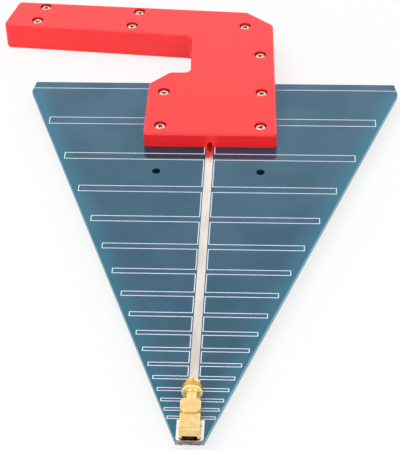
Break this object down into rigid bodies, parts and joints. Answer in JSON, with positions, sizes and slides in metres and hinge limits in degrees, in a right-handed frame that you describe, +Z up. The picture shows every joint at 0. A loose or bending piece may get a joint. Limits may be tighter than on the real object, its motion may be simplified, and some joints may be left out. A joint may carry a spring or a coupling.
{
  "type": "handheld log-periodic board antenna",
  "caption": "Flat triangular circuit-board antenna with printed dipoles along a feed line, a coaxial jack at its tip and a two-shell pistol grip clamped round its wide end.",
  "frame": {"origin": "on the boom axis, in the middle of the four clamp screws, on the flat underside of the grip", "axes": "+Y from the narrow tip to the grip, +Z up out of the face that carries the jack, +X to the right as the tip points at the viewer"},
  "size_m": [0.223, 0.3253, 0.0175],
  "materials": {
    "laminate": "blue-green solder mask over glass-fibre laminate",
    "masked_copper": "copper under a glossy solder mask",
    "tinned_copper": "bright tin plating",
    "ink": "white printed ink",
    "red_shell": "glossy red moulding",
    "plated_steel": "bright plated screw steel",
    "insert_brass": "plain turned brass",
    "gold_brass": "polished gold plating over brass",
    "insulator": "waxy white fluoropolymer",
    "solder": "bright solder"
  },
  "bodies": {
    "root": {"circuit_board": "laminate", "top_dipoles": "masked_copper", "top_boom": "tinned_copper", "tip_pad": "tinned_copper", "bottom_dipoles": "masked_copper", "bottom_boom": "tinned_copper", "top_outline": "ink", "bottom_outline": "ink", "grip_upper_shell": "red_shell", "grip_lower_shell": "red_shell", "grip_screws": "plated_steel", "threaded_inserts": "insert_brass", "jack_block": "gold_brass", "jack_barrel": "gold_brass", "jack_insulator": "insulator", "centre_contact": "gold_brass", "lock_washer": "gold_brass", "panel_nut": "gold_brass", "solder_joints": "solder"}
  },
  "joints": []
}
